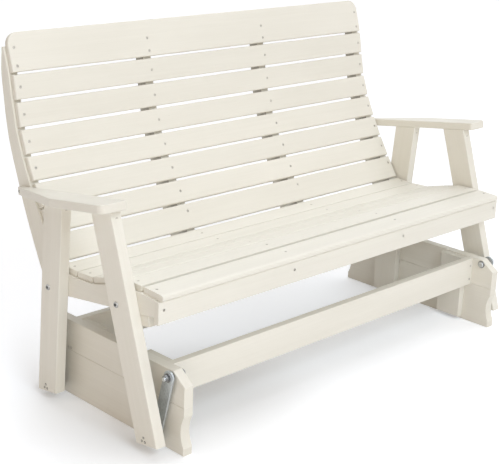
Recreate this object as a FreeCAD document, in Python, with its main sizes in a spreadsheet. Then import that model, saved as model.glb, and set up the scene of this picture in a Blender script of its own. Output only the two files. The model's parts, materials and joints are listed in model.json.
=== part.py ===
import FreeCAD, Part
import os
import re
from math import cos, radians, sin, tan
import Sketcher

Vec = FreeCAD.Vector
Turn = FreeCAD.Rotation

# Driving sizes: millimetres and degrees, X along the bench, Y to the rear, Z up from the floor
SIZES = {
    # side panels of the base
    "panel_length": 654,
    "panel_height": 240,
    "lower_board_height": 144,
    "panel_thickness": 32,
    "corner_length": 48,
    "corner_drop": 35,
    "hollow_start": 22,
    "hollow_rise": 96,
    "hollow_depth": 13,
    # battens and stretchers
    "batten_width": 96,
    "batten_thickness": 25,
    "batten_height": 223,
    "batten_bottom": 12,
    "front_batten_inset": 159,
    "rear_batten_inset": 199,
    "stretcher_height": 97,
    "stretcher_thickness": 25,
    "stretcher_bottom": 140.5,
    # links and pivots
    "link_length": 187,
    "link_width": 38,
    "link_thickness": 6,
    "link_gap": 10,
    "link_space": 40,
    "pivot_height": 224,
    "front_pivot_inset": 50,
    "rear_pivot_inset": 87.6,
    "front_link_lean": 14.5,
    "rear_link_lean": 5,
    "pivot_radius": 6,
    "running_clearance": 0.05,
    "open_clearance": 2,
    "bolt_clearance": 0.3,
    "bush_wall": 3,
    "flange_width": 4,
    "flange_thickness": 1.7,
    "side_play": 0.3,
    "washer_radius": 13,
    "washer_thickness": 2,
    "nut_radius": 10.5,
    "nut_height": 9,
    "bolt_head_radius": 11,
    "bolt_head_height": 6,
    "bolt_end": 5,
    "stud_collar_radius": 9,
    "plate_radius": 17,
    "plate_thickness": 4,
    "plate_reach": 15,
    "plate_screw_circle": 7.5,
    "clip_radius": 11,
    "clip_thickness": 1.8,
    # legs and arms
    "leg_width": 86,
    "leg_thickness": 34,
    "front_leg_ahead": 37.8,
    "front_leg_lean": 18.1,
    "front_foot_height": 30.5,
    "rear_leg_ahead": 18.1,
    "rear_leg_lean": -4.1,
    "rear_foot_height": 24,
    "foot_tilt": 8.9,
    "arm_thickness": 25,
    "arm_width": 87,
    "arm_end_width": 14,
    "arm_overhang": 33,
    "arm_taper_start": 104,
    "arm_rear": 362,
    "arm_height": 673,
    "arm_tilt": 8.6,
    "arm_corner": 26,
    # ribs and boards of the seat and back
    "rib_thickness": 32,
    "rib_proud": 6,
    "rib_mid_x": 254,
    "rib_front": -246,
    "rib_front_bottom": 394,
    "rib_bottom_tilt": 8.2,
    "rib_rear": 254,
    "rib_depth_foot": 82,
    "rib_depth_mid": 52,
    "rib_depth_top": 38,
    "rib_tip_depth": 8,
    "rib_tip_share": 0.68,
    "rib_tip_round": 6,
    "slat_length": 1532,
    "slat_width": 68.5,
    "slat_thickness": 19,
    "seat_gap": 4,
    "seat_front_y": -272,
    "seat_front_z": 461,
    "front_board_width": 79,
    "front_board_gap": 12,
    "front_board_tilt": 3,
    "seat_tilt_a": -1.5,
    "seat_tilt_b": -13,
    "seat_tilt_c": -15.5,
    "seat_tilt_d": -3,
    "seat_tilt_e": 3,
    "back_start_y": 176.5,
    "back_start_z": 433.5,
    "back_gap": 7.5,
    "back_slat_width": 72,
    "back_edge_round": 4.5,
    "first_slat_width": 82,
    "back_lean_a": 33,
    "back_lean_b": 32.5,
    "back_lean_c": 29.5,
    "back_lean_d": 26.3,
    "back_lean_e": 20.4,
    "back_lean_f": 12.4,
    "back_lean_g": 10.7,
    "top_board_lean": 17,
    "top_board_width": 115.5,
    "top_board_corner": 38,
    "nose_radius": 9,
    "edge_round": 2.5,
    # apron and cross board
    "apron_overhang": 9,
    "apron_height": 65,
    "cross_board_y": -219,
    "cross_board_width": 86,
    "cross_board_thickness": 32,
    # screws and leg bolts
    "screw_radius": 2.2,
    "screw_head_radius": 4.2,
    "screw_head_height": 2.6,
    "screw_bite": 13,
    "top_screw_bite": 6,
    "front_screw_share": 0.6,
    "first_screw_share": 0.7,
    "top_screw_low": 0.147,
    "top_screw_mid": 0.496,
    "top_screw_end": 0.612,
    "apron_screw_height": 41,
    "screw_recess": 0.3,
    "screw_inset": 18,
    "drive_width": 3,
    "drive_depth": 1.6,
    "hole_clearance": 0.4,
    "toe_screw_drop": 25,
    "toe_screw_pitch": 50,
    "leg_bolt_radius": 5,
    "leg_bolt_head": 9,
    "front_bolt_back": 11.3,
    "front_bolt_z": 403,
    "rear_bolt_back": 9.8,
    "rear_bolt_z": 360,
}

doc = FreeCAD.newDocument("GliderBench")
sheet = doc.addObject("Spreadsheet::Sheet", "Sizes")
for row, (alias, number) in enumerate(SIZES.items(), start=1):
    sheet.set(f"A{row}", alias)
    sheet.set(f"B{row}", str(number))
    sheet.setAlias(f"B{row}", alias)
doc.recompute()

nodes = []


def size(alias):
    return float(sheet.get(alias))


def bind(thing, field, formula):
    """Ties a field to the sheet; bare aliases in the formula are looked up there."""
    thing.setExpression(field, re.sub("[a-z][a-z_]+", lambda word: "Sizes." + word[0], formula))


def new_body(label, node=True):
    body = doc.addObject("PartDesign::Body", label)
    body.Label = label
    if node:
        nodes.append(body)
    return body


def new_sketch(body, name, role):
    sketch = body.newObject("Sketcher::SketchObject", name)
    plane = [o for o in body.Origin.OriginFeatures if o.Role == role][0]
    sketch.AttachmentSupport = [(plane, "")]
    sketch.MapMode = "FlatFace"
    return sketch


def draw_rectangle(sketch, length, width):
    """Rectangle centred on the vertical axis with its first side on the horizontal one."""
    half, wide = 200, 100
    corners = [Vec(-half, 0), Vec(half, 0), Vec(half, wide), Vec(-half, wide)]
    for i in range(4):
        sketch.addGeometry(Part.LineSegment(corners[i], corners[(i + 1) % 4]))
    for i in range(4):
        sketch.addConstraint(Sketcher.Constraint("Coincident", i, 2, (i + 1) % 4, 1))
    for i, way in ((1, "Vertical"), (2, "Horizontal"), (3, "Vertical")):
        sketch.addConstraint(Sketcher.Constraint(way, i))
    sketch.addConstraint(Sketcher.Constraint("Symmetric", 0, 1, 0, 2, -2))
    sketch.addConstraint(Sketcher.Constraint("PointOnObject", 0, 1, -1))
    across = sketch.addConstraint(Sketcher.Constraint("DistanceX", 0, 1, 0, 2, 2 * half))
    up = sketch.addConstraint(Sketcher.Constraint("DistanceY", 1, 1, 1, 2, wide))
    bind(sketch, f"Constraints[{across}]", length)
    bind(sketch, f"Constraints[{up}]", width)


def draw_outline(sketch, edges):
    """Closed outline of lines, arcs and curves, each ending where the next one starts."""
    for edge in edges:
        sketch.addGeometry(edge)
    for i in range(len(edges)):
        sketch.addConstraint(Sketcher.Constraint("Coincident", i, 2, (i + 1) % len(edges), 1))


def draw_circles(sketch, spots, radius):
    for x, y in spots:
        index = sketch.addGeometry(Part.Circle(Vec(x, y), Vec(0, 0, 1), 1))
        turn = sketch.addConstraint(Sketcher.Constraint("Radius", index, 1))
        bind(sketch, f"Constraints[{turn}]", radius)
        sketch.addConstraint(Sketcher.Constraint("DistanceX", -1, 1, index, 3, x))
        sketch.addConstraint(Sketcher.Constraint("DistanceY", -1, 1, index, 3, y))


def lines(points):
    ends = [Vec(*p) for p in points]
    return [Part.LineSegment(ends[i], ends[(i + 1) % len(ends)]) for i in range(len(ends))]


def pad(body, sketch, length, backwards=False):
    feature = body.newObject("PartDesign::Pad", "Pad")
    feature.Profile = sketch
    bind(feature, "Length", length)
    feature.Reversed = backwards
    sketch.Visibility = False
    doc.recompute([feature])
    return feature


def round_all(body, base, radius="edge_round"):
    """Eases the outlines of a board's two broad faces."""
    span = base.Shape.BoundBox
    thin = min((span.XLength, "XLength"), (span.YLength, "YLength"), (span.ZLength, "ZLength"))[1]
    return round_some(body, base, lambda edge: getattr(edge.BoundBox, thin) < 1e-6, radius)


def round_some(body, base, wanted, radius):
    names = [f"Edge{i}" for i, edge in enumerate(base.Shape.Edges, start=1) if wanted(edge)]
    feature = body.newObject("PartDesign::Fillet", "Round")
    feature.Base = (base, names)
    bind(feature, "Radius", radius)
    doc.recompute([feature])
    return feature


def drill(body, spots, radius, depth):
    """Blind or through holes from the XY plane down into the body."""
    sketch = new_sketch(body, "Holes", "XY_Plane")
    draw_circles(sketch, spots, radius)
    feature = body.newObject("PartDesign::Pocket", "Drilled")
    feature.Profile = sketch
    bind(feature, "Length", depth)
    doc.recompute([feature])
    return feature


def bore(body, spots, radius, depth):
    """Holes along X through a body drawn on the YZ plane."""
    sketch = new_sketch(body, "Holes", "YZ_Plane")
    draw_circles(sketch, spots, radius)
    feature = body.newObject("PartDesign::Pocket", "Drilled")
    feature.Profile = sketch
    feature.Reversed = True
    bind(feature, "Length", depth)
    doc.recompute([feature])
    return feature


def spin(label, points):
    """Turned piece about its Z axis, from a half profile of radius and height."""
    body = new_body(label, node=False)
    sketch = new_sketch(body, "Profile", "XZ_Plane")
    draw_outline(sketch, lines(points))
    feature = body.newObject("PartDesign::Revolution", "Turned")
    feature.Profile = sketch
    feature.ReferenceAxis = (sketch, ["V_Axis"])
    feature.Angle = 360
    doc.recompute()
    return body


def group(label, copies):
    """Node of separate solids: each copy is a master piece and the place it goes to."""
    shapes = []
    for master, place in copies:
        shape = master.Shape.copy()
        shape.Placement = place.multiply(shape.Placement)
        shapes.append(shape)
    feature = doc.addObject("Part::Feature", label)
    feature.Label = label
    feature.Shape = Part.makeCompound(shapes)
    nodes.append(feature)
    return feature


def at(x, y, z, turn=Turn()):
    return FreeCAD.Placement(Vec(x, y, z), turn)


def tilted(tilt):
    return Turn(Vec(1, 0, 0), tilt)


OUT_X = {1: Turn(Vec(0, 1, 0), 90), -1: Turn(Vec(0, 1, 0), -90)}
SIDES = {"left": -1, "right": 1}
ENDS = {"front": -1, "rear": 1}

# Places worked out from the sizes
leg_inner = size("slat_length") / 2 + size("rib_proud")
leg_outer = leg_inner + size("leg_thickness")
panel_outer = leg_inner - size("link_space")
panel_inner = panel_outer - size("panel_thickness")
panel_end = {"front": -size("panel_length") / 2, "rear": size("panel_length") / 2}
link_inner = panel_outer + size("link_gap")
link_outer = link_inner + size("link_thickness")
rib_x = [-(leg_inner - size("rib_thickness") / 2), -size("rib_mid_x")]
rib_x = rib_x + [-x for x in reversed(rib_x)]
screw_x = [-(size("slat_length") / 2 - size("screw_inset")), -size("rib_mid_x")]
screw_x = screw_x + [-x for x in reversed(screw_x)]
slat_spots = [(x, 0.5) for x in screw_x]
front_spots = [(x, size("front_screw_share")) for x in screw_x]
first_spots = [(x, size("first_screw_share")) for x in screw_x]
top_low_spots = [(x, size("top_screw_low")) for x in screw_x]
top_high_spots = [(x, size("top_screw_" + w)) for x, w in zip(screw_x, ("end", "mid", "mid", "end"))]


def inset(end, name):
    """Place in from one end of the panels."""
    return panel_end[end] - ENDS[end] * size(f"{end}_{name}_inset")


upper = {end: (inset(end, "pivot"), size("pivot_height")) for end in ENDS}
lean = {"front": size("front_link_lean"), "rear": -size("rear_link_lean")}
lower = {
    end: (
        upper[end][0] + size("link_length") * sin(radians(lean[end])),
        upper[end][1] - size("link_length") * cos(radians(lean[end])),
    )
    for end in ENDS
}
batten_y = {end: inset(end, "batten") for end in ENDS}
stretcher_y = {
    end: batten_y[end] + way * (size("batten_width") + size("stretcher_thickness")) / 2
    for end, way in ENDS.items()
}
leg_foot = {
    end: (lower[end][0] - size(f"{end}_leg_ahead"), size(f"{end}_leg_lean"), size(f"{end}_foot_height"))
    for end in ENDS
}


def leg_line(end, z, offset=0):
    """How far back a leg's middle line is at a height, or a line beside it."""
    y, tip, foot = leg_foot[end]
    return y + offset + z * tan(radians(tip))


leg_bolt = {
    end: (leg_line(end, size(f"{end}_bolt_z"), size(f"{end}_bolt_back")), size(f"{end}_bolt_z"))
    for end in ENDS
}


def chain(start, boards):
    """Boards end to end: each is a width, a tilt and the gap after it; gives y, z, tilt, width."""
    y, z = start
    placed = []
    for i, (width, tilt, gap) in enumerate(boards):
        placed.append((y, z, tilt, width))
        after = boards[i + 1][1] if i + 1 < len(boards) else tilt
        between = radians((tilt + after) / 2)
        y += width * cos(radians(tilt)) + gap * cos(between)
        z += width * sin(radians(tilt)) + gap * sin(between)
    return placed


def along(board, share, below=0):
    """Point on a board's face, a share of its width on and some way below the face."""
    y, z, tilt, width = board
    turn = radians(tilt)
    run = width * share
    return y + run * cos(turn) + below * sin(turn), z + run * sin(turn) - below * cos(turn)


seat_boards = chain(
    (size("seat_front_y"), size("seat_front_z")),
    [(size("front_board_width"), size("front_board_tilt"), size("front_board_gap"))]
    + [(size("slat_width"), size("seat_tilt_" + c), size("seat_gap")) for c in "abcde"],
)
back_boards = chain(
    (size("back_start_y"), size("back_start_z")),
    [(size("first_slat_width"), 90 - size("back_lean_a"), size("back_gap"))]
    + [(size("back_slat_width"), 90 - size("back_lean_" + c), size("back_gap")) for c in "bcdefg"]
    + [(size("top_board_width"), 90 - size("top_board_lean"), 0)],
)


def arm_under(y):
    return size("arm_height") - size("arm_thickness") / cos(radians(size("arm_tilt"))) - y * tan(
        radians(size("arm_tilt"))
    )


def rib_bottom(y):
    return size("rib_front_bottom") - (y - size("rib_front")) * tan(radians(size("rib_bottom_tilt")))


def front_board_under(y):
    y0, z0 = along(seat_boards[0], 0, size("slat_thickness"))
    return z0 + (y - y0) * tan(radians(size("front_board_tilt")))


apron_front = size("rib_front") - size("slat_thickness")
apron_bottom = front_board_under(apron_front) - size("side_play") - size("apron_height")


# Base
def side_board_lower(side, way):
    body = new_body(f"side_board_lower_{side}")
    sketch = new_sketch(body, "Outline", "YZ_Plane")
    draw_rectangle(sketch, "panel_length", "lower_board_height")
    round_all(body, pad(body, sketch, "panel_thickness"))
    rise, deep = size("hollow_rise"), size("hollow_depth")
    radius = (rise ** 2 / 4 + deep ** 2) / (2 * deep)
    reach = panel_end["rear"] - deep + radius
    height = size("hollow_start") + rise / 2
    round_cut = "(hollow_rise ^ 2 / 4 + hollow_depth ^ 2) / (2 * hollow_depth)"
    bore(body, [(-reach, height), (reach, height)], round_cut, "panel_thickness")
    body.Placement = at(panel_inner if way > 0 else -panel_outer, 0, 0)


def side_board_upper(side, way):
    body = new_body(f"side_board_upper_{side}")
    half, low, high = panel_end["rear"], size("lower_board_height"), size("panel_height")
    run, drop = size("corner_length"), size("corner_drop")
    sketch = new_sketch(body, "Outline", "YZ_Plane")
    draw_outline(sketch, lines([
        (-half, low), (half, low), (half, high - drop), (half - run, high),
        (run - half, high), (-half, high - drop),
    ]))
    round_all(body, pad(body, sketch, "panel_thickness"))
    bore(body, upper.values(), "pivot_radius + bolt_clearance", "panel_thickness")
    body.Placement = at(panel_inner if way > 0 else -panel_outer, 0, 0)


def batten(end, side, way):
    body = new_body(f"batten_{end}_{side}")
    sketch = new_sketch(body, "Outline", "YZ_Plane")
    draw_rectangle(sketch, "batten_width", "batten_height")
    round_all(body, pad(body, sketch, "batten_thickness"))
    x = panel_inner - size("batten_thickness") if way > 0 else -panel_inner
    body.Placement = at(x, batten_y[end], size("batten_bottom"))


def stretcher(end, way):
    body = new_body(f"stretcher_{end}")
    box = new_sketch(body, "Outline", "XZ_Plane")
    half, high = panel_inner, size("stretcher_height")
    draw_outline(box, lines([(-half, 0), (half, 0), (half, high), (-half, high)]))
    round_all(body, pad(body, box, "stretcher_thickness"))
    front = stretcher_y[end] + size("stretcher_thickness") / 2
    body.Placement = at(0, front, size("stretcher_bottom"))


# Links
def link(end, side, way):
    body = new_body(f"link_{end}_{side}")
    r, far = size("link_width") / 2, size("link_length")
    sketch = new_sketch(body, "Outline", "XY_Plane")
    draw_outline(sketch, [
        Part.LineSegment(Vec(0, -r), Vec(far, -r)),
        Part.Arc(Vec(far, -r), Vec(far + r, 0), Vec(far, r)),
        Part.LineSegment(Vec(far, r), Vec(0, r)),
        Part.Arc(Vec(0, r), Vec(-r, 0), Vec(0, -r)),
    ])
    flat = pad(body, sketch, "link_thickness")
    round_some(body, flat, lambda edge: edge.BoundBox.ZLength < 1e-6, "side_play * 2")
    holes = new_sketch(body, "Eyes", "XY_Plane")
    draw_circles(holes, [(0, 0)], "pivot_radius + running_clearance + bush_wall")
    draw_circles(holes, [(far, 0)], eye_radius(end) + " + bush_wall")
    cut = body.newObject("PartDesign::Pocket", "Drilled")
    cut.Profile = holes
    cut.Reversed = True
    bind(cut, "Length", "link_thickness")
    body.Placement = link_place(end, way)


def eye_radius(end):
    return "pivot_radius + open_clearance" if end == "rear" else "pivot_radius + running_clearance"


def link_place(end, way):
    """Local X runs from the upper pivot to the lower one and local Z along the bench."""
    down = Vec(0, lower[end][0] - upper[end][0], lower[end][1] - upper[end][1]).normalize()
    out = Vec(1, 0, 0)
    turn = Turn(down, out.cross(down), out, "ZXY")
    return at(link_inner if way > 0 else -link_outer, *upper[end], turn)


def bush(name, inner):
    outer = inner + size("bush_wall")
    wide = outer + size("flange_width")
    flange, long = size("flange_thickness"), size("link_thickness")
    return spin(name, [
        (inner, -flange), (wide, -flange), (wide, 0), (outer, 0),
        (outer, long), (wide, long), (wide, long + flange), (inner, long + flange),
    ])


def ring(name, inner, outer, thickness):
    return spin(name, [(inner, 0), (outer, 0), (outer, thickness), (inner, thickness)])


def hex_nut(name, hole, radius, height):
    prism = doc.addObject("Part::Prism", name + "Hex")
    prism.Polygon = 6
    bind(prism, "Circumradius", radius)
    bind(prism, "Height", height)
    bore = doc.addObject("Part::Cylinder", name + "Bore")
    bind(bore, "Radius", hole)
    bind(bore, "Height", height)
    nut = doc.addObject("Part::Cut", name)
    nut.Base = prism
    nut.Tool = bore
    doc.recompute()
    return nut


def link_bushes():
    tight = bush("TightBush", size("pivot_radius") + size("running_clearance"))
    loose = bush("LooseBush", size("pivot_radius") + size("open_clearance"))
    for end in ENDS:
        for side, way in SIDES.items():
            place = link_place(end, way)
            far = place.multiply(at(size("link_length"), 0, 0))
            group(f"bushes_{end}_{side}", [(tight, place), (loose if end == "rear" else tight, far)])


def upper_pivots():
    """Bolt from inside each panel; spacer, link and washer on it; nut outside."""
    r, thin, play = size("pivot_radius"), size("washer_thickness"), size("side_play")
    flange = size("flange_thickness")
    spacer_long = size("link_gap") - flange - play
    head_face = panel_inner - thin
    washer_x = link_outer + flange + play
    nut_x = washer_x + thin
    shank = nut_x + size("nut_height") + size("bolt_end") - head_face
    wide, high = size("bolt_head_radius"), size("bolt_head_height")
    bolt = spin("PivotBolt", [
        (0, -high), (wide * 0.75, -high), (wide, -high / 2), (wide, 0), (r, 0), (r, shank - 1),
        (r - 1, shank), (0, shank),
    ])
    bore = r + size("bolt_clearance")
    washer = ring("Washer", bore, size("washer_radius"), thin)
    spacer = ring("Spacer", bore, size("stud_collar_radius"), spacer_long)
    nut = hex_nut("PivotNut", "pivot_radius", "nut_radius", "nut_height")
    bolts, nuts, washers = [], [], []
    for end in ENDS:
        for way in SIDES.values():
            def spot(x):
                return at(way * x, *upper[end], OUT_X[way])
            bolts.append((bolt, spot(head_face)))
            washers.append((washer, spot(head_face)))
            washers.append((spacer, spot(panel_outer)))
            washers.append((washer, spot(washer_x)))
            nuts.append((nut, spot(nut_x)))
    group("pivot_bolts", bolts)
    group("pivot_washers", washers)
    group("pivot_nuts", nuts)


def lower_pivots():
    """Plate and stud inside each leg, held by three screws; a clip keeps the link on."""
    r, thick, reach = size("pivot_radius"), size("plate_thickness"), size("plate_reach")
    flange, play = size("flange_thickness"), size("side_play")
    collar = leg_inner - thick - (link_outer + flange + play)
    clip_far = thick + collar + size("link_thickness") + 2 * (flange + play)
    stud_end = clip_far + size("clip_thickness") + 1
    stud = spin("Stud", [
        (0, thick / 2), (size("stud_collar_radius"), thick / 2),
        (size("stud_collar_radius"), thick + collar), (r, thick + collar),
        (r, stud_end - 0.8), (r - 0.8, stud_end), (0, stud_end),
    ])
    plate = doc.addObject("PartDesign::Body", "PivotPlate")
    sketch = new_sketch(plate, "Outline", "XY_Plane")
    w = size("plate_radius")
    draw_outline(sketch, [
        Part.LineSegment(Vec(-reach, -w), Vec(0, -w)),
        Part.Arc(Vec(0, -w), Vec(w, 0), Vec(0, w)),
        Part.LineSegment(Vec(0, w), Vec(-reach, w)),
        Part.Arc(Vec(-reach, w), Vec(-reach - w, 0), Vec(-reach, -w)),
    ])
    pad(plate, sketch, "plate_thickness")
    joined = doc.addObject("Part::Fuse", "PlateAndStud")
    joined.Base = plate
    joined.Tool = stud
    doc.recompute()
    clip = ring("Clip", r, size("clip_radius"), size("clip_thickness"))
    screw = make_screw("PlateScrew", size("leg_thickness") + thick * 0.7)
    studs, clips, screws = [], [], []
    for end in ENDS:
        for way in SIDES.values():
            y, z = lower[end]
            inward = Vec(-way, 0, 0)
            turn = Turn(Vec(0, 1, 0), inward.cross(Vec(0, 1, 0)), inward, "ZXY")
            studs.append((joined, at(way * leg_inner, y, z, turn)))
            clips.append((clip, at(way * (leg_inner - clip_far), y, z, turn)))
            for spoke in (90, 210, 330):
                sy = y - reach + size("plate_screw_circle") * cos(radians(spoke))
                sz = z + size("plate_screw_circle") * sin(radians(spoke))
                screws.append((screw, at(way * leg_outer, sy, sz, OUT_X[way])))
    group("pivot_studs", studs)
    group("stud_clips", clips)
    group("plate_screws", screws)


# Seat frame
def leg_half(end):
    return size("leg_width") / 2 / cos(radians(size(f"{end}_leg_lean")))


def leg_top(end, offset):
    """Point under the arm on a line beside a leg's middle line."""
    y, tip, foot = leg_foot[end]
    rise = tan(radians(size("arm_tilt")))
    z = (arm_under(0) - rise * (y + offset)) / (1 + rise * tan(radians(tip)))
    return leg_line(end, z, offset), z


def leg(end, side, way):
    body = new_body(f"leg_{end}_{side}")
    y, tip, foot = leg_foot[end]
    slope = tan(radians(tip))
    half = leg_half(end)
    down = tan(radians(size("foot_tilt")))
    corners = []
    for offset in (-half, half):
        z = (foot + down * slope * foot - down * offset) / (1 + down * slope)
        corners.append((leg_line(end, z, offset), z))
    tops = [leg_top(end, half), leg_top(end, -half)]
    sketch = new_sketch(body, "Outline", "YZ_Plane")
    draw_outline(sketch, lines(corners + tops))
    round_all(body, pad(body, sketch, "leg_thickness"))
    bore(body, [leg_bolt[end]], "leg_bolt_radius + bolt_clearance", "leg_thickness")
    body.Placement = at(leg_inner if way > 0 else -leg_outer, 0, 0)


def arm(side, way):
    """Drawn flat with its top on the XY plane, inner edge on the leg's inner face."""
    body = new_body(f"arm_{side}")
    fall = cos(radians(size("arm_tilt")))
    front = (leg_top("front", -leg_half("front"))[0] - size("arm_overhang")) / fall
    kink, rear = size("arm_taper_start") / fall, size("arm_rear") / fall
    wide, end, r = size("arm_width"), size("arm_end_width"), size("arm_corner")
    pts = [(0, front), (wide, front), (wide, kink), (end, rear), (0, rear)]
    pts = [(way * x, y) for x, y in pts]
    sketch = new_sketch(body, "Outline", "XY_Plane")
    draw_outline(sketch, lines(pts))
    flat = pad(body, sketch, "arm_thickness", backwards=True)

    def front_corner(x):
        return lambda e: e.BoundBox.ZLength > 1 and abs(e.Vertexes[0].X - x) < 0.01 and (
            abs(e.Vertexes[0].Y - front) < 0.01)
    shaped = round_some(body, flat, front_corner(way * wide), "arm_corner")
    shaped = round_some(body, shaped, front_corner(0), "arm_corner / 3")
    round_some(body, shaped, lambda e: e.BoundBox.ZLength < 1e-6, "edge_round")
    body.Placement = at(way * leg_inner, 0, size("arm_height"), tilted(-size("arm_tilt")))


def joint_line():
    """Square cut where a back rib stands on the rear of a seat rib."""
    seat_end = along(seat_boards[-1], 1, size("slat_thickness"))
    back_end = along(back_boards[0], 0, size("slat_thickness"))
    top = ((seat_end[0] + back_end[0]) / 2, (seat_end[1] + back_end[1]) / 2)
    turn = radians(back_boards[0][2])
    deep = size("rib_depth_foot") + size("slat_thickness") / 2
    return top, (top[0] + deep * sin(turn), top[1] - deep * cos(turn))


def seat_rib(number, x):
    body = new_body(f"seat_rib_{number}")
    thick = size("slat_thickness")
    top = []
    for board in seat_boards:
        top += [along(board, 0, thick), along(board, 1, thick)]
    front = size("rib_front")
    top[0] = (front, front_board_under(front))
    high, low = joint_line()
    rear = size("rib_rear")
    points = [(front, rib_bottom(front)), (rear, rib_bottom(rear)), low, high] + top[::-1]
    sketch = new_sketch(body, "Outline", "YZ_Plane")
    draw_outline(sketch, lines(points))
    pad(body, sketch, "rib_thickness")
    if number in (1, 4):
        bore(body, leg_bolt.values(), "leg_bolt_radius + bolt_clearance", "rib_thickness")
    body.Placement = at(x - size("rib_thickness") / 2, 0, 0)


def back_rib(number, x):
    body = new_body(f"back_rib_{number}")
    thick = size("slat_thickness")
    high, low = joint_line()
    front = [high]
    for board in back_boards[:-1]:
        front += [along(board, 0, thick), along(board, 1, thick)]
    top, tip = back_boards[-1], size("rib_tip_share")
    front += [along(top, 0, thick), along(top, tip, thick)]
    rear = [along(top, tip, thick + size("rib_tip_depth"))]
    for share in (0.75, 0.5, 0.25):
        deep = size("rib_tip_depth") + (size("rib_depth_top") - size("rib_tip_depth")) * (1 - share)
        rear.append(along(top, tip * share, thick + deep))
    depths = [size("rib_depth_foot"), size("rib_depth_mid"), size("rib_depth_top")]
    for i, board in reversed(list(enumerate(back_boards[:-1]))):
        share = i / 6 * 2
        step = min(int(share), 1)
        deep = depths[step] + (depths[step + 1] - depths[step]) * (share - step)
        rear.append(along(board, 0.5, thick + deep))
    rear.append(low)
    curve = Part.BSplineCurve()
    curve.interpolate([Vec(*p) for p in rear])
    sketch = new_sketch(body, "Outline", "YZ_Plane")
    for edge in lines(front + [rear[0]])[:-1]:
        sketch.addGeometry(edge)
    sketch.addGeometry(curve)
    sketch.addGeometry(Part.LineSegment(Vec(*low), Vec(*high)))
    sharp = pad(body, sketch, "rib_thickness")
    tip_y, tip_z = rear[0]

    def at_tip(edge):
        span = edge.BoundBox
        return span.XLength > 1 and abs(span.YMin - tip_y) < 0.01 and abs(span.ZMin - tip_z) < 0.01
    round_some(body, sharp, at_tip, "rib_tip_round")
    body.Placement = at(x - size("rib_thickness") / 2, 0, 0)


def slat(label, board, screws=slat_spots, width="slat_width", ease="edge_round", corner=None, nose=False):
    """Board with its face on the XY plane, clearance holes and sunk heads for its screws."""
    body = new_body(label)
    y, z, tilt, wide = board
    sketch = new_sketch(body, "Face", "XY_Plane")
    draw_rectangle(sketch, "slat_length", width)
    shaped = pad(body, sketch, "slat_thickness", backwards=True)
    if corner:
        shaped = round_some(
            body, shaped,
            lambda e: e.BoundBox.ZLength > 1 and e.BoundBox.Center.y > wide / 2, corner)
    if nose:
        shaped = round_some(
            body, shaped,
            lambda e: e.BoundBox.XLength > 1 and abs(e.BoundBox.Center.y) < 0.01, "nose_radius")
        shaped = round_some(
            body, shaped,
            lambda e: e.BoundBox.XLength > 1 and e.BoundBox.Center.y > wide - 0.01, ease)
    else:
        shaped = round_some(
            body, shaped, lambda e: e.BoundBox.ZLength < 1e-6, ease)
    spots = [(x, wide * share) for x, share in screws]
    drill(body, spots, "screw_radius + hole_clearance", "slat_thickness")
    drill(body, spots, "screw_head_radius + hole_clearance", "screw_head_height + screw_recess")
    body.Placement = at(0, y, z, tilted(tilt))


def apron():
    body = new_body("apron")
    sketch = new_sketch(body, "Outline", "XZ_Plane")
    draw_rectangle(sketch, "slat_length + 2 * apron_overhang", "apron_height")
    shaped = pad(body, sketch, "slat_thickness")
    round_some(body, shaped, lambda e: e.BoundBox.YLength < 1e-6, "edge_round")
    body.Placement = at(0, size("rib_front"), apron_bottom)


def cross_board():
    body = new_body("cross_board")
    tilt = -size("rib_bottom_tilt")
    half, wide = leg_inner, size("cross_board_width")
    sketch = new_sketch(body, "Face", "XY_Plane")
    draw_outline(sketch, lines([(-half, 0), (half, 0), (half, wide), (-half, wide)]))
    shaped = pad(body, sketch, "cross_board_thickness", backwards=True)
    round_all(body, shaped)
    y = size("cross_board_y")
    body.Placement = at(0, y, rib_bottom(y), tilted(tilt))


# Screws and bolts
def make_screw(name, length):
    """Flat-headed screw with a square drive, head face at the top and point down its Z axis."""
    r, head, tall = size("screw_radius"), size("screw_head_radius"), size("screw_head_height")
    body = spin(name, [
        (0, 0), (head - 0.5, 0), (head, -0.5), (head, -tall), (r, -tall), (r, -length + 3),
        (0.6, -length), (0, -length),
    ])
    sketch = new_sketch(body, "Drive", "XY_Plane")
    half = size("drive_width") / 2
    draw_outline(sketch, lines([(-half, -half), (half, -half), (half, half), (-half, half)]))
    cut = body.newObject("PartDesign::Pocket", "Recess")
    cut.Profile = sketch
    bind(cut, "Length", "drive_depth")
    doc.recompute()
    return body


def board_screws():
    screw = make_screw("BoardScrew", size("slat_thickness") + size("screw_bite"))
    short = make_screw("TopScrew", size("slat_thickness") + size("top_screw_bite"))
    sunk = size("screw_recess")

    def row(board, spots=slat_spots, kind=screw):
        return [(kind, at(x, *along(board, share, sunk), tilted(board[2]))) for x, share in spots]
    back = row(back_boards[-1], top_low_spots) + row(back_boards[-1], top_high_spots, short)
    back += row(back_boards[0], first_spots)
    for board in back_boards[1:-1]:
        back += row(board)
    group("back_screws", back)
    seat = row(seat_boards[0], front_spots)
    for board in seat_boards[1:]:
        seat += row(board)
    height = apron_bottom + size("apron_screw_height")
    seat += [(screw, at(x, apron_front, height, tilted(90))) for x in rib_x]
    group("seat_screws", seat)


def base_screws():
    """Through the stretchers into the batten edges, and through the panels into the rear stretcher."""
    screw = make_screw("BaseScrew", size("panel_thickness") + size("screw_bite"))
    copies = []
    x = panel_inner - size("batten_thickness") / 2
    for end, way in ENDS.items():
        face = stretcher_y[end] + way * size("stretcher_thickness") / 2
        for side in SIDES.values():
            for share in (0.22, 0.73):
                z = size("stretcher_bottom") + size("stretcher_height") * share
                copies.append((screw, at(side * x, face, z, tilted(-90 * way))))
    for side in SIDES.values():
        for offset in (-7, 7):
            z = size("lower_board_height") + 8
            copies.append((screw, at(side * panel_outer, stretcher_y["rear"] + offset, z, OUT_X[side])))
    group("base_screws", copies)


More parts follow.
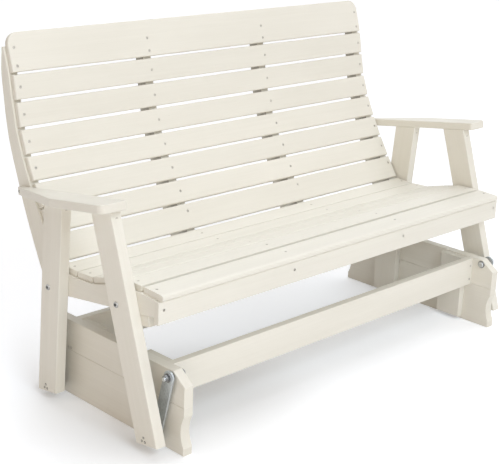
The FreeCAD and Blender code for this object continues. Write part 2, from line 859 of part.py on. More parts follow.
def arm_screws():
    """Slanted screws from the leg edges into the arms, and one through each arm end into the rib."""
    up = size("toe_screw_pitch")
    drop = size("toe_screw_drop")
    long = drop / sin(radians(up)) + size("screw_bite")
    toe = make_screw("ToeScrew", long)
    short = make_screw("ArmEndScrew", size("arm_end_width") + size("screw_bite"))
    copies = []
    middle = leg_outer - size("leg_thickness") / 2
    for end in ENDS:
        z = leg_top(end, -leg_half(end))[1] - drop
        y = leg_line(end, z, -leg_half(end))
        for way in SIDES.values():
            copies.append((toe, at(way * middle, y, z, tilted(90 + up))))
    back = size("arm_rear") - 12
    z = arm_under(back) + size("arm_thickness") / 2
    taper = (size("arm_width") - size("arm_end_width")) / (size("arm_rear") - size("arm_taper_start"))
    x = leg_inner + size("arm_end_width") + 12 * taper
    for way in SIDES.values():
        copies.append((short, at(way * x, back, z, OUT_X[way])))
    group("arm_screws", copies)


def leg_bolts():
    r, head, thin = size("leg_bolt_radius"), size("leg_bolt_head"), size("washer_thickness")
    grip = size("leg_thickness") + size("rib_thickness")
    shank = grip + thin + size("nut_height")
    bolt = spin("LegBolt", [
        (0, 4), (head * 0.3, 4), (head * 0.6, 3.2), (head * 0.87, 1.7), (head, 0),
        (r, 0), (r, -shank), (0, -shank),
    ])
    nut = hex_nut("LegNut", "leg_bolt_radius", "leg_bolt_head", "nut_height")
    washer = ring("LegWasher", r + size("bolt_clearance"), size("washer_radius"), thin)
    bolts, nuts = [], []
    for end in ENDS:
        for way in SIDES.values():
            def spot(x):
                return at(way * x, *leg_bolt[end], OUT_X[way])
            face = leg_inner - size("rib_thickness")
            bolts.append((bolt, spot(leg_outer)))
            nuts.append((washer, spot(face - thin)))
            nuts.append((nut, spot(face - thin - size("nut_height"))))
    group("leg_bolts", bolts)
    group("leg_nuts", nuts)


# Assembly
for side, way in SIDES.items():
    side_board_lower(side, way)
    side_board_upper(side, way)
    arm(side, way)
    for end in ENDS:
        batten(end, side, way)
        link(end, side, way)
        leg(end, side, way)
for end, way in ENDS.items():
    stretcher(end, way)
for number, x in enumerate(rib_x, start=1):
    seat_rib(number, x)
    back_rib(number, x)
slat("seat_front_board", seat_boards[0], front_spots, "front_board_width", nose=True)
for number, board in enumerate(seat_boards[1:], start=1):
    slat(f"seat_slat_{number}", board)
slat("back_slat_1", back_boards[0], first_spots, "first_slat_width", "back_edge_round")
for number, board in enumerate(back_boards[1:-1], start=2):
    slat(f"back_slat_{number}", board, slat_spots, "back_slat_width", "back_edge_round")
slat(
    "back_top_board", back_boards[-1], top_low_spots + top_high_spots,
    "top_board_width", "back_edge_round", "top_board_corner")
apron()
cross_board()
link_bushes()
upper_pivots()
lower_pivots()
board_screws()
base_screws()
arm_screws()
leg_bolts()
doc.recompute()

for thing in doc.Objects:
    if "Invalid" in thing.State or "Error" in thing.State:
        raise RuntimeError(f"{thing.Name} did not rebuild")

# The middle of the bench's depth goes over the origin
span = FreeCAD.BoundBox()
for node in nodes:
    if node.Label in ("side_board_lower_left", "back_top_board", "back_rib_1"):
        span.add(node.Shape.optimalBoundingBox(False, False))
middle = round(span.Center.y, 1)
for node in nodes:
    node.Placement = at(0, -middle, 0).multiply(node.Placement)
doc.recompute()

os.makedirs("parts", exist_ok=True)
for node in nodes:
    if node.Shape.isNull() or not node.Shape.isValid():
        raise RuntimeError(f"{node.Label} has no valid shape")
    node.Shape.exportStep(f"parts/{node.Label}.step")
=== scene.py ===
import json
from math import pi, radians

import bmesh
import bpy
from mathutils import Matrix, Vector

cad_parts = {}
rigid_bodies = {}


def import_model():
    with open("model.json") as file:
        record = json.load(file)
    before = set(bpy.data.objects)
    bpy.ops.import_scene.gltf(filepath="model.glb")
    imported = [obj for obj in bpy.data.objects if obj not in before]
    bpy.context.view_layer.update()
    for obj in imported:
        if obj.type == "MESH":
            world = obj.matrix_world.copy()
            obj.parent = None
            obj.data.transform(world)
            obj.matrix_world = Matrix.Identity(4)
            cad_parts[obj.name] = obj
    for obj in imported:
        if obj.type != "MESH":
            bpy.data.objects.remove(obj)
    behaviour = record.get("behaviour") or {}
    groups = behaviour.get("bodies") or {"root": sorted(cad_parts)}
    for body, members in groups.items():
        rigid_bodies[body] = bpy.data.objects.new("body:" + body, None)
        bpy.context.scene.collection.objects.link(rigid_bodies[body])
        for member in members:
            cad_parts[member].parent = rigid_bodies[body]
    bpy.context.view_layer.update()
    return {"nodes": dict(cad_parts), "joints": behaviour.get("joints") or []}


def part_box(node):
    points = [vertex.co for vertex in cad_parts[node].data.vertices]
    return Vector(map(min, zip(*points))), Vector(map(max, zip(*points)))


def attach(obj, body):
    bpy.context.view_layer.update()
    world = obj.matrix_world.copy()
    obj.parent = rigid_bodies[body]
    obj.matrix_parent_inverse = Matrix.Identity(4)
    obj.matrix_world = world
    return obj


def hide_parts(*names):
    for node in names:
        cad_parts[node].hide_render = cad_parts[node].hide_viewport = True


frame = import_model()
nodes = frame["nodes"]
panelLow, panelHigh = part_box("side_board_lower_left")
panelMidY = (panelLow.y + panelHigh.y) / 2
print("frame loaded:", len(nodes), "nodes")


# node helpers
def newGroup(name, inputs, outputs):
    group = bpy.data.node_groups.new(name, "ShaderNodeTree")
    for label, kind, value in inputs:
        socket = group.interface.new_socket(label, in_out="INPUT", socket_type="NodeSocket" + kind)
        if value is not None:
            socket.default_value = value
    for label, kind in outputs:
        group.interface.new_socket(label, in_out="OUTPUT", socket_type="NodeSocket" + kind)
    return group, group.nodes.new("NodeGroupInput"), group.nodes.new("NodeGroupOutput")


def addNode(tree, kind, settings=None, **values):
    node = tree.nodes.new("ShaderNode" + kind)
    for field, value in (settings or {}).items():
        setattr(node, field, value)
    for label, value in values.items():
        socket = node.inputs[label.replace("_", " ")]
        if isinstance(value, bpy.types.NodeSocket):
            tree.links.new(value, socket)
        else:
            socket.default_value = value
    return node


def mathNode(tree, operation, first, second=None, clamp=False):
    node = tree.nodes.new("ShaderNodeMath")
    node.operation, node.use_clamp = operation, clamp
    for index, value in enumerate((first, second)):
        if isinstance(value, bpy.types.NodeSocket):
            tree.links.new(value, node.inputs[index])
        elif value is not None:
            node.inputs[index].default_value = value
    return node.outputs[0]


def spread(tree, value, low, high, toLow=0.0, toHigh=1.0):
    node = addNode(tree, "MapRange", {"interpolation_type": "SMOOTHSTEP"}, Value=value)
    node.inputs["From Min"].default_value = low
    node.inputs["From Max"].default_value = high
    node.inputs["To Min"].default_value = toLow
    node.inputs["To Max"].default_value = toHigh
    return node.outputs["Result"]


# a weighted sum of masks
def blendOf(tree, *parts):
    total = None
    for value, weight in parts:
        scaled = mathNode(tree, "MULTIPLY", value, weight)
        total = scaled if total is None else mathNode(tree, "ADD", total, scaled)
    return total


def mixColors(tree, factor, first, second, blend="MIX"):
    node = addNode(tree, "Mix", {"data_type": "RGBA", "blend_type": blend})
    for socket, value in zip((node.inputs[0], node.inputs[6], node.inputs[7]), (factor, first, second)):
        if isinstance(value, bpy.types.NodeSocket):
            tree.links.new(value, socket)
        else:
            socket.default_value = value
    return node.outputs[2]


def noiseOn(tree, vector, stretch, detail=3.0, rough=0.5, warp=0.0):
    placed = addNode(tree, "Mapping", Vector=vector, Scale=stretch)
    noise = addNode(tree, "TexNoise", Vector=placed.outputs[0], Scale=1.0, Detail=detail, Roughness=rough,
                    Distortion=warp)
    return noise.outputs["Fac"]


# noises of the board grain: stretch, detail, roughness, warp
grainLook = {
    "hairs": ((9, 900, 900), 3, 0.65, 0.0),
    "lines": ((4, 260, 260), 4, 0.6, 0.3),
    "bands": ((1.3, 48, 48), 3, 0.55, 0.6),
    "cloud": ((2.4, 9, 9), 3, 0.55, 0.0),
    "flecks": ((70, 650, 650), 2, 0.5, 0.0),
    "pores": ((800, 800, 800), 2, 0.6, 0.0),
}


# board grain: streaks run along the vector's X axis, saw-cut ends face that axis
def makeBoardGrain():
    group, given, result = newGroup(
        "boardGrain",
        [("Vector", "Vector", None), ("Normal", "Vector", None), ("Shift", "Float", 0.0)],
        [("Streak", "Float"), ("Cloud", "Float"), ("Fleck", "Float"), ("End", "Float"), ("Height", "Float")],
    )
    moved = addNode(group, "CombineXYZ", X=given.outputs["Shift"], Y=given.outputs["Shift"])
    placed = addNode(group, "VectorMath", {"operation": "ADD"})
    group.links.new(given.outputs["Vector"], placed.inputs[0])
    group.links.new(moved.outputs[0], placed.inputs[1])
    vector = placed.outputs[0]
    noises = {label: noiseOn(group, vector, *look) for label, look in grainLook.items()}
    hairs, lines, pores = noises["hairs"], noises["lines"], noises["pores"]
    streak = blendOf(group, (hairs, 0.25), (lines, 0.35), (noises["bands"], 0.4))
    facing = addNode(group, "SeparateXYZ", Vector=given.outputs["Normal"])
    end = spread(group, mathNode(group, "ABSOLUTE", facing.outputs["X"]), 0.8, 0.95)
    saw = addNode(group, "TexWave", {"wave_type": "BANDS", "bands_direction": "Y"}, Vector=vector,
                  Scale=70.0, Distortion=1.5, Detail=2.0, Detail_Scale=2.0)
    emboss = blendOf(group, (lines, 0.6), (hairs, 0.25), (pores, 0.15))
    sawn = blendOf(group, (saw.outputs["Fac"], 0.4), (pores, 0.6))
    height = addNode(group, "Mix", {"data_type": "FLOAT"})
    for socket, value in zip((height.inputs[0], height.inputs[2], height.inputs[3]), (end, emboss, sawn)):
        group.links.new(value, socket)
    fleck = spread(group, noises["flecks"], 0.66, 0.8)
    masks = {"Streak": streak, "Cloud": noises["cloud"], "Fleck": fleck, "End": end, "Height": height.outputs[0]}
    for label, value in masks.items():
        group.links.new(value, result.inputs[label])
    return group


# edge wear and painted sheen: how far the surface turns away within a few millimetres, broken up by noise
def makeEdgeWearAndSheen():
    group, given, result = newGroup(
        "edgeWear", [("Vector", "Vector", None), ("Reach", "Float", 0.003)], [("Edge", "Float")],
    )
    soft = addNode(group, "Bevel", {"samples": 4}, Radius=given.outputs["Reach"])
    true = addNode(group, "NewGeometry")
    turn = addNode(group, "VectorMath", {"operation": "DOT_PRODUCT"})
    group.links.new(soft.outputs[0], turn.inputs[0])
    group.links.new(true.outputs["Normal"], turn.inputs[1])
    patchy = noiseOn(group, given.outputs["Vector"], (45, 45, 45), 4, 0.6)
    edge = spread(group, turn.outputs["Value"], 0.995, 0.86)
    edge = mathNode(group, "MULTIPLY", edge, spread(group, patchy, 0.3, 0.62))
    group.links.new(edge, result.inputs["Edge"])
    return group


lumber = {
    "pale": (0.806, 0.78, 0.7, 1),
    "deep": (0.754, 0.727, 0.645, 1),
    "cutEnd": (0.75, 0.72, 0.635, 1),
    "fleck": (0.62, 0.59, 0.51, 1),
    # lighter edges: rubbed wear and painted sheen
    "edge": (0.87, 0.85, 0.785, 1),
    "bump": 0.22,
    "bumpDepth": 0.0006,
    "roughness": 0.47,
    "boardToBoard": 0.03,
    "edgeReach": 0.003,
    "grainShift": 40.0,
    # painted shade: a tint multiplied onto the back ribs' sides in the corner behind the slats, and how far that
    # corner reaches
    "ribPaintedShade": (0.52, 0.51, 0.49, 1),  # back ribs, in the corner behind the slats
    "ribPaintedShadeReach": 0.09,
}


def makeLumber(name, turn=(0, 0, 0), paintedShade=None):
    mat = bpy.data.materials.new(name)
    mat.use_nodes = True
    tree = mat.node_tree
    shader = tree.nodes["Principled BSDF"]
    where = addNode(tree, "TexCoord")
    board = addNode(tree, "ObjectInfo")
    turned = addNode(tree, "Mapping", Vector=where.outputs["Object"], Rotation=turn)
    facing = addNode(tree, "Mapping", {"vector_type": "NORMAL"}, Vector=where.outputs["Normal"], Rotation=turn)
    grain = addNode(tree, "Group", {"node_tree": boardGrain}, Vector=turned.outputs[0], Normal=facing.outputs[0],
                    Shift=mathNode(tree, "MULTIPLY", board.outputs["Random"], lumber["grainShift"]))
    wearAndSheen = addNode(tree, "Group", {"node_tree": edgeWear}, Vector=where.outputs["Object"],
                   Reach=lumber["edgeReach"])
    tone = blendOf(tree, (grain.outputs["Streak"], 0.6), (grain.outputs["Cloud"], 0.4))
    color = mixColors(tree, spread(tree, tone, 0.3, 0.7), lumber["deep"], lumber["pale"])
    color = mixColors(tree, mathNode(tree, "MULTIPLY", grain.outputs["Fleck"], 0.35), color, lumber["fleck"])
    cut = mathNode(tree, "MULTIPLY", grain.outputs["End"], 0.8)
    color = mixColors(tree, cut, color, lumber["cutEnd"])
    # edges turn lighter: rubbed wear and painted sheen
    color = mixColors(tree, mathNode(tree, "MULTIPLY", wearAndSheen.outputs["Edge"], 0.5), color, lumber["edge"])
    # painted shade: rib side faces close to the slats, found by ambient occlusion, are multiplied darker
    if paintedShade:
        across = addNode(tree, "SeparateXYZ", Vector=where.outputs["Normal"])
        side = spread(tree, mathNode(tree, paintedShade[0], across.outputs["X"], paintedShade[1]), 0.8, 0.95)
        corner = addNode(tree, "AmbientOcclusion", {"samples": 24}, Distance=lumber["ribPaintedShadeReach"])
        side = mathNode(tree, "MULTIPLY", side, spread(tree, corner.outputs["AO"], 0.92, 0.7))
        color = mixColors(tree, side, color, lumber["ribPaintedShade"], "MULTIPLY")
    shade = mathNode(tree, "MULTIPLY", board.outputs["Random"], lumber["boardToBoard"])
    shade = mathNode(tree, "ADD", shade, 1 - lumber["boardToBoard"] / 2)
    hue = addNode(tree, "HueSaturation", Color=color, Value=shade)
    tree.links.new(hue.outputs[0], shader.inputs["Base Color"])
    rough = spread(tree, grain.outputs["Streak"], 0.3, 0.7, lumber["roughness"] + 0.08, lumber["roughness"] - 0.05)
    rough = mathNode(tree, "ADD", rough, mathNode(tree, "MULTIPLY", cut, 0.2))
    tree.links.new(rough, shader.inputs["Roughness"])
    bump = addNode(tree, "Bump", Strength=lumber["bump"], Distance=lumber["bumpDepth"],
                   Height=grain.outputs["Height"])
    tree.links.new(bump.outputs["Normal"], shader.inputs["Normal"])
    shader.inputs["Specular IOR Level"].default_value = 0.4
    return mat


boardGrain = makeBoardGrain()
edgeWear = makeEdgeWearAndSheen()
lumberTurns = {
    "lumberLong": (0, 0, 0),
    "lumberDeep": (0, 0, radians(-90)),
    "lumberUpright": (0, radians(90), 0),
    "lumberFrontLeg": (radians(18.1), radians(90), 0),
    "lumberRearLeg": (radians(-4.1), radians(90), 0),
}
lumberMats = {name: makeLumber(name, turn) for name, turn in lumberTurns.items()}
# rib materials with painted shade on their sides
ribPaintedShades = {  # both sides of the inner ribs, the inward side of the outer ones
    "lumberInnerRib": ("ABSOLUTE", None),
    "lumberLeftRib": ("MULTIPLY", 1.0),
    "lumberRightRib": ("MULTIPLY", -1.0),
}
ribTurn = (radians(17), radians(90), 0)
lumberMats.update({name: makeLumber(name, ribTurn, paintedShade) for name, paintedShade in ribPaintedShades.items()})
print("lumber materials:", len(lumberMats))


# steel: brushed streaks along the vector's X axis, faint zinc bloom and handling marks
def makeSteelSkin():
    group, given, result = newGroup(
        "steelSkin", [("Vector", "Vector", None)], [("Brushed", "Float"), ("Bloom", "Float"), ("Marks", "Float")],
    )
    vector = given.outputs["Vector"]
    brushed = noiseOn(group, vector, (25, 1500, 1500), 3, 0.6)
    cells = addNode(group, "TexVoronoi", Vector=vector, Scale=140.0, Randomness=1.0)
    clouds = noiseOn(group, vector, (35, 55, 55), 4, 0.55)
    bloom = blendOf(group, (cells.outputs["Distance"], 0.3), (clouds, 0.7))
    marks = spread(group, noiseOn(group, vector, (120, 260, 260), 5, 0.7), 0.56, 0.72)
    for label, value in (("Brushed", brushed), ("Bloom", bloom), ("Marks", marks)):
        group.links.new(value, result.inputs[label])
    return group


steels = {
    "linkSteel": {
        "light": (0.62, 0.66, 0.675, 1), "dark": (0.47, 0.505, 0.52, 1), "mark": (0.36, 0.385, 0.395, 1),
        "rough": 0.34, "bump": 0.08, "metal": 0.65,
    },
    "platedSteel": {
        "light": (0.56, 0.565, 0.56, 1), "dark": (0.38, 0.385, 0.385, 1), "mark": (0.3, 0.3, 0.295, 1),
        "rough": 0.24, "bump": 0.05, "metal": 0.9,
    },
    "legBoltSteel": {
        "light": (0.5, 0.495, 0.475, 1), "dark": (0.34, 0.335, 0.32, 1), "mark": (0.22, 0.215, 0.205, 1),
        "rough": 0.32, "bump": 0.05, "metal": 0.85,
    },
    "nutSteel": {
        "light": (0.34, 0.345, 0.345, 1), "dark": (0.16, 0.16, 0.16, 1), "mark": (0.12, 0.12, 0.118, 1),
        "rough": 0.26, "bump": 0.05, "metal": 0.95,
    },
    "slatScrewSteel": {
        "light": (0.7, 0.665, 0.61, 1), "dark": (0.46, 0.435, 0.395, 1), "mark": (0.3, 0.285, 0.26, 1),
        "rough": 0.38, "bump": 0.08, "metal": 1.0,
    },
    "armScrewSteel": {
        "light": (0.66, 0.635, 0.57, 1), "dark": (0.55, 0.525, 0.465, 1), "mark": (0.4, 0.38, 0.34, 1),
        "rough": 0.42, "bump": 0.08, "metal": 0.25, "bareBehind": 0.18, "bare": (0.12, 0.115, 0.108, 1),
    },
    "darkSteel": {
        "light": (0.03, 0.0295, 0.029, 1), "dark": (0.012, 0.012, 0.012, 1), "mark": (0.045, 0.044, 0.043, 1),
        "rough": 0.45, "bump": 0.1, "metal": 1.0,
    },
}


def makeSteel(name, look, turn=(0, 0, 0)):
    mat = bpy.data.materials.new(name)
    mat.use_nodes = True
    tree = mat.node_tree
    shader = tree.nodes["Principled BSDF"]
    where = addNode(tree, "TexCoord")
    turned = addNode(tree, "Mapping", Vector=where.outputs["Object"], Rotation=turn)
    skin = addNode(tree, "Group", {"node_tree": steelSkin}, Vector=turned.outputs[0])
    wearAndSheen = addNode(tree, "Group", {"node_tree": edgeWear}, Vector=where.outputs["Object"], Reach=0.0015)
    color = mixColors(tree, spread(tree, skin.outputs["Bloom"], 0.3, 0.7), look["dark"], look["light"])
    color = mixColors(tree, mathNode(tree, "MULTIPLY", skin.outputs["Marks"], 0.35), color, look["mark"])
    # edges turn lighter: rubbed wear and painted sheen
    color = mixColors(tree, mathNode(tree, "MULTIPLY", wearAndSheen.outputs["Edge"], 0.5), color, look["light"])
    if "bareBehind" in look:  # heads painted like the boards, bare steel further back
        place = addNode(tree, "SeparateXYZ", Vector=where.outputs["Object"])
        behind = spread(tree, place.outputs["Y"], look["bareBehind"] - 0.02, look["bareBehind"] + 0.02)
        color = mixColors(tree, behind, color, look["bare"])
    tree.links.new(color, shader.inputs["Base Color"])
    rough = spread(tree, skin.outputs["Brushed"], 0.3, 0.7, look["rough"] - 0.06, look["rough"] + 0.1)
    rough = mathNode(tree, "ADD", rough, mathNode(tree, "MULTIPLY", skin.outputs["Marks"], 0.12))
    tree.links.new(rough, shader.inputs["Roughness"])
    bump = addNode(tree, "Bump", Strength=look["bump"], Distance=0.0002, Height=skin.outputs["Brushed"])
    tree.links.new(bump.outputs["Normal"], shader.inputs["Normal"])
    shader.inputs["Metallic"].default_value = look["metal"]  # the zinc bloom dulls the links most
    return mat


steelSkin = makeSteelSkin()
steelMats = {name: makeSteel(name, look) for name, look in steels.items() if name != "linkSteel"}
linkTurns = {"front": (radians(-14.5), radians(90), 0), "rear": (radians(5), radians(90), 0)}
linkMats = {end: makeSteel("linkSteel." + end, steels["linkSteel"], turn) for end, turn in linkTurns.items()}

bushLook = {"dark": (0.42, 0.42, 0.41, 1), "light": (0.55, 0.55, 0.54, 1), "rough": 0.5}


def makeBushPlastic():
    mat = bpy.data.materials.new("bushPlastic")
    mat.use_nodes = True
    tree = mat.node_tree
    shader = tree.nodes["Principled BSDF"]
    where = addNode(tree, "TexCoord")
    speckle = noiseOn(tree, where.outputs["Object"], (900, 900, 900), 2, 0.5)
    clouds = noiseOn(tree, where.outputs["Object"], (90, 90, 90), 3, 0.5)
    tone = spread(tree, blendOf(tree, (speckle, 0.4), (clouds, 0.6)), 0.35, 0.65)
    tree.links.new(mixColors(tree, tone, bushLook["dark"], bushLook["light"]), shader.inputs["Base Color"])
    rough = spread(tree, speckle, 0.3, 0.7, bushLook["rough"], bushLook["rough"] + 0.12)
    tree.links.new(rough, shader.inputs["Roughness"])
    bump = addNode(tree, "Bump", Strength=0.1, Distance=0.0002, Height=speckle)
    tree.links.new(bump.outputs["Normal"], shader.inputs["Normal"])
    return mat


bushPlastic = makeBushPlastic()
print("steel and plastic materials done")


# which finish each node wears
lumberStarts = {
    "side_board": "lumberDeep", "arm": "lumberDeep", "seat_rib": "lumberDeep", "batten": "lumberUpright",
    "leg_front": "lumberFrontLeg", "leg_rear": "lumberRearLeg",
    "back_rib_1": "lumberLeftRib", "back_rib_4": "lumberRightRib", "back_rib": "lumberInnerRib",
}


def finishFor(name):
    if name.startswith("bushes"):
        return bushPlastic
    if name.startswith("link"):
        return linkMats[name.split("_")[1]]
    if name == "plate_screws":
        return steelMats["darkSteel"]
    if name == "arm_screws":
        return steelMats["armScrewSteel"]
    if name == "base_screws":
        return steelMats["legBoltSteel"]
    if name.endswith("screws"):
        return steelMats["slatScrewSteel"]
    if name in ("pivot_nuts", "pivot_washers", "leg_nuts"):
        return steelMats["nutSteel"]
    if name.startswith(("pivot", "stud_clips", "leg_bolts")):
        return steelMats["platedSteel"]
    for start, finish in lumberStarts.items():
        if name.startswith(start):
            return lumberMats[finish]
    return lumberMats["lumberLong"]


for name, node in nodes.items():
    if not node.material_slots:
        node.data.materials.append(None)
    for slot in node.material_slots:
        slot.material = finishFor(name)
print("finishes assigned")

# upper pivots, where the links hang: nuts with turned rims and threaded bolt ends
nutLook = {"across": 0.01818, "corner": 0.0104, "bore": 0.0058, "rim": 0.0093, "ease": 0.0007, "steps": 60}
threadLook = {"radius": 0.0059, "crest": 0.00625, "pitch": 0.00175, "length": 0.004, "steps": 28}
nutFace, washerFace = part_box("pivot_nuts")[1].x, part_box("pivot_washers")[1].x
hangers = [joint["pos_m"] for joint in frame["joints"] if joint["parent"] == "base"]


def pick(parts, kind):
    return [part for part in parts if isinstance(part, kind)]


# turns a profile once round the X axis
def turnProfile(bm, verts, edges, steps):
    bmesh.ops.spin(bm, geom=verts + edges, cent=(0, 0, 0), axis=(1, 0, 0), angle=2 * pi, steps=steps,
                   use_merge=True)
    bmesh.ops.remove_doubles(bm, verts=bm.verts[:], dist=1e-6)


# points are (along X, radius)
def profileEdges(bm, points, closed=True):
    verts = [bm.verts.new((along, radius, 0)) for along, radius in points]
    after = verts[1:] + verts[:1] if closed else verts[1:]
    return verts, [bm.edges.new(pair) for pair in zip(verts, after)]


# one shape at the origin, then a copy at each spot that points outwards
def copyOutwards(bm, spots, outward):
    first = bm.verts[:] + bm.edges[:] + bm.faces[:]
    for x, y, z in spots:
        verts = pick(bmesh.ops.duplicate(bm, geom=first)["geom"], bmesh.types.BMVert)
        if x < 0:
            bmesh.ops.rotate(bm, verts=verts, cent=(0, 0, 0), matrix=Matrix.Rotation(pi, 3, "Z"))
        bmesh.ops.translate(bm, verts=verts, vec=(outward if x > 0 else -outward, y, z))
    bmesh.ops.delete(bm, geom=pick(first, bmesh.types.BMVert), context="VERTS")


def finishPiece(bm, name, mats, smoothUnder, body):
    bmesh.ops.recalc_face_normals(bm, faces=bm.faces[:])
    mesh = bpy.data.meshes.new(name)
    bm.to_mesh(mesh)
    bm.free()
    mesh.shade_smooth()
    mesh.set_sharp_from_angle(angle=radians(smoothUnder))
    for mat in mats:
        mesh.materials.append(steelMats[mat])
    piece = bpy.data.objects.new(name, mesh)
    bpy.context.scene.collection.objects.link(piece)
    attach(piece, body)
    return piece


def makeNuts():
    bm = bmesh.new()
    thick, ease = nutFace - washerFace, nutLook["ease"]
    rim, corner, bore = nutLook["rim"], nutLook["corner"], nutLook["bore"]
    points = [(0, bore), (0, rim), (ease, corner), (thick - ease, corner), (thick, rim), (thick, bore)]
    turnProfile(bm, *profileEdges(bm, points), nutLook["steps"])
    for side in range(6):  # plane the six flats
        away = Matrix.Rotation(side * pi / 3, 3, "X") @ Vector((0, 1, 0))
        cut = bmesh.ops.bisect_plane(bm, geom=bm.verts[:] + bm.edges[:] + bm.faces[:], dist=1e-7,
                                     plane_co=away * nutLook["across"] / 2, plane_no=away, clear_outer=True)
        bmesh.ops.contextual_create(bm, geom=pick(cut["geom_cut"], bmesh.types.BMEdge))
    copyOutwards(bm, hangers, washerFace)
    nuts = finishPiece(bm, "pivotNuts", ["nutSteel"], 20, "base")
    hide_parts("pivot_nuts")


def makeThreads():
    bm = bmesh.new()
    pitch, low, high = threadLook["pitch"], threadLook["radius"], threadLook["crest"]
    verts, edges = profileEdges(bm, [(-pitch * 0.46, low), (0, high), (pitch * 0.46, low)])
    bm.faces.new(verts)
    turns = threadLook["length"] / pitch
    steps = round(turns * threadLook["steps"])
    last = bmesh.ops.spin(bm, geom=verts + edges, cent=(0, 0, 0), axis=(1, 0, 0), angle=2 * pi * turns, steps=steps,
                          dvec=(threadLook["length"] / steps, 0, 0))["geom_last"]
    bmesh.ops.contextual_create(bm, geom=pick(last, bmesh.types.BMEdge))
    copyOutwards(bm, hangers, nutFace)
    finishPiece(bm, "boltThreads", ["platedSteel"], 40, "base")


# leg bolts: domed heads with a six-sided socket
legBoltLook = {
    "dome": [(0, 0.009), (0.0009, 0.0089), (0.0018, 0.0084), (0.0027, 0.0077), (0.0034, 0.0069), (0.0038, 0.0062),
             (0.004, 0.0055)],
    "shank": 0.005, "tip": 0.0042, "long": 0.077, "socket": 0.0046, "deep": 0.003, "steps": 48,
}


def makeLegBolts():
    low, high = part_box("leg_bolts")
    head, top = legBoltLook["dome"][0][1], legBoltLook["dome"][-1][0]
    legFace = high.x - top
    bm = bmesh.new()
    shank, end = legBoltLook["shank"], -legBoltLook["long"]
    points = [(end, legBoltLook["tip"]), (end + 0.001, shank), (0, shank)] + legBoltLook["dome"]
    turnProfile(bm, *profileEdges(bm, points, closed=False), legBoltLook["steps"])
    rims = [edge for edge in bm.edges if edge.is_boundary]
    crown = [edge for edge in rims if edge.verts[0].co.x > 0]
    bmesh.ops.contextual_create(bm, geom=[edge for edge in rims if edge.verts[0].co.x < 0])
    turned = Matrix.Translation((top, 0, 0)) @ Matrix.Rotation(pi / 2, 4, "Y")
    ring = bmesh.ops.create_circle(bm, cap_ends=False, radius=legBoltLook["socket"], segments=6, matrix=turned)
    mouth = list(dict.fromkeys(edge for vert in ring["verts"] for edge in vert.link_edges))
    bmesh.ops.bridge_loops(bm, edges=crown + mouth)
    sunk = bmesh.ops.extrude_edge_only(bm, edges=mouth)["geom"]
    bmesh.ops.translate(bm, verts=pick(sunk, bmesh.types.BMVert), vec=(-legBoltLook["deep"], 0, 0))
    bottom = bmesh.ops.contextual_create(bm, geom=pick(sunk, bmesh.types.BMEdge))["faces"]
    # painted shade: the socket walls and floor take the darker nut steel so the recess reads dark
    for face in bottom + pick(sunk, bmesh.types.BMFace):
        face.material_index = 1
    front, rear = (low.y + head, high.z - head), (high.y - head, low.z + head)
    copyOutwards(bm, [(side, y, z) for side in (-1, 1) for y, z in (front, rear)], legFace)
    bolts = finishPiece(bm, "legBolts", ["legBoltSteel", "nutSteel"], 30, "seat")
    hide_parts("leg_bolts")


makeNuts()
makeThreads()
makeLegBolts()
print("nuts, threads and leg bolts made")

# floor, light and camera
stageLook = {
    "floorSize": 60.0,
    "floorColor": (0.92, 0.92, 0.92, 1),
    # a camera-only white lifts the floor; it is weaker by the bench's left end, which paints the floor shadow there
    # deeper, and stronger further off
    "liftNear": 0.14,  # white that only the camera and reflections see, by the left end and further off
    "liftFar": 0.3,
    "liftAround": (-0.58, -0.14),
    "liftReach": (0.2, 0.62),
    "liftColor": (0.87, 0.925, 1.0, 1),
    "worldColor": (1.0, 0.865, 0.745, 1),
    "worldFront": 0.62,  # the studio is brighter before the bench than behind it
    "worldBack": 0.2,
    "worldToward": (-0.3, -0.95, 0),
    "topLamp": {"from": (0.42, 0.2, 1.0), "strength": 1.59, "spread": 55, "color": (0.866, 0.926, 1.0)},
    "softLamps": {
        "frontLamp": {"spot": (-1.9, -6.8, 5.6), "power": 324, "size": 4.0, "color": (0.767, 0.885, 1.0)},
        "leftLamp": {"spot": (-5.2, -4.0, 1.4), "power": 34, "size": 3.0, "color": (1.0, 0.832, 0.724)},
    },
    "aim": (0.1, 0, 0.5),
}


# what the camera sees straight, in reflections or through things
def seenDirectly(tree):
    path = addNode(tree, "LightPath")
    seen = mathNode(tree, "MAXIMUM", path.outputs["Is Camera Ray"], path.outputs["Is Glossy Ray"])
    return mathNode(tree, "MAXIMUM", seen, path.outputs["Is Transmission Ray"])


def makeFloor():
    half = stageLook["floorSize"] / 2
    mesh = bpy.data.meshes.new("floor")
    corners = [(-half, -half, 0), (half, -half, 0), (half, half, 0), (-half, half, 0)]
    mesh.from_pydata(corners, [], [(0, 1, 2, 3)])
    floor = bpy.data.objects.new("floor", mesh)
    bpy.context.scene.collection.objects.link(floor)
    mat = bpy.data.materials.new("floorPaper")
    mat.use_nodes = True
    tree = mat.node_tree
    shader = tree.nodes["Principled BSDF"]
    where = addNode(tree, "TexCoord")
    fibre = noiseOn(tree, where.outputs["Object"], (300, 300, 300), 2, 0.5)
    rough = spread(tree, fibre, 0.3, 0.7, 0.85, 0.95)
    tree.links.new(rough, shader.inputs["Roughness"])
    shader.inputs["Base Color"].default_value = stageLook["floorColor"]
    shader.inputs["Specular IOR Level"].default_value = 0.0
    shader.inputs["Emission Color"].default_value = stageLook["liftColor"]
    seen = seenDirectly(tree)
    aroundX, aroundY = stageLook["liftAround"]
    centred = addNode(tree, "Mapping", Vector=where.outputs["Object"], Location=(-aroundX, -aroundY, 0))
    away = addNode(tree, "VectorMath", {"operation": "LENGTH"}, Vector=centred.outputs[0])
    # painted shadow: less camera-only white near liftAround makes the floor darker there
    lift = spread(tree, away.outputs["Value"], *stageLook["liftReach"], stageLook["liftNear"], stageLook["liftFar"])
    tree.links.new(mathNode(tree, "MULTIPLY", seen, lift), shader.inputs["Emission Strength"])
    mesh.materials.append(mat)


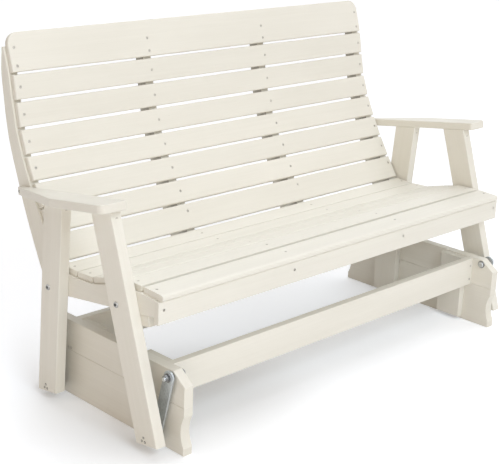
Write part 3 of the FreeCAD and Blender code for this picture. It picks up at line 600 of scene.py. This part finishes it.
def makeLight():
    world = bpy.data.worlds.new("studio")
    bpy.context.scene.world = world
    world.use_nodes = True
    tree = world.node_tree
    soft = tree.nodes["Background"]
    soft.inputs["Color"].default_value = stageLook["worldColor"]
    toward = addNode(tree, "VectorMath", {"operation": "DOT_PRODUCT"})
    tree.links.new(addNode(tree, "TexCoord").outputs["Generated"], toward.inputs[0])
    toward.inputs[1].default_value = stageLook["worldToward"]
    level = spread(tree, toward.outputs["Value"], -0.8, 0.8, stageLook["worldBack"], stageLook["worldFront"])
    tree.links.new(level, soft.inputs["Strength"])
    white = addNode(tree, "Background", Color=(1, 1, 1, 1), Strength=1.0)
    seen = seenDirectly(tree)
    both = addNode(tree, "MixShader")
    tree.links.new(seen, both.inputs[0])
    tree.links.new(soft.outputs[0], both.inputs[1])
    tree.links.new(white.outputs[0], both.inputs[2])
    tree.links.new(both.outputs[0], tree.nodes["World Output"].inputs["Surface"])
    top = stageLook["topLamp"]
    lamp = bpy.data.lights.new("topLamp", "SUN")
    lamp.energy, lamp.angle, lamp.color = top["strength"], radians(top["spread"]), top["color"]
    placeLamp(lamp, (0, 0, 4), Vector(top["from"]))
    for name, look in stageLook["softLamps"].items():
        lamp = bpy.data.lights.new(name, "AREA")
        lamp.energy, lamp.size, lamp.color = look["power"], look["size"], look["color"]
        placeLamp(lamp, look["spot"], Vector(look["spot"]) - Vector(stageLook["aim"]))


def placeLamp(lamp, spot, away):
    holder = bpy.data.objects.new(lamp.name, lamp)
    holder.location = spot
    holder.rotation_mode = "QUATERNION"
    holder.rotation_quaternion = away.to_track_quat("Z", "Y")
    bpy.context.scene.collection.objects.link(holder)


cameraLook = {
    "spot": (-2.6801, panelMidY - 2.4838, 1.6049),
    "yaw": 45.197,
    "pitch": 18.144,
    "roll": 2.2955,
    "lens": 85.874,
}


def makeCamera():
    lens = bpy.data.cameras.new("camera")
    lens.lens, lens.sensor_width, lens.sensor_fit = cameraLook["lens"], 36, "HORIZONTAL"
    lens.clip_end = 200
    camera = bpy.data.objects.new("camera", lens)
    turn = Matrix.Rotation(radians(-cameraLook["yaw"]), 4, "Z")
    turn = turn @ Matrix.Rotation(radians(90 - cameraLook["pitch"]), 4, "X")
    turn = turn @ Matrix.Rotation(radians(cameraLook["roll"]), 4, "Z")
    camera.matrix_world = Matrix.Translation(cameraLook["spot"]) @ turn
    bpy.context.scene.collection.objects.link(camera)
    bpy.context.scene.camera = camera


makeFloor()
makeLight()
makeCamera()
bpy.context.scene.view_settings.view_transform = "Standard"
print("stage ready")
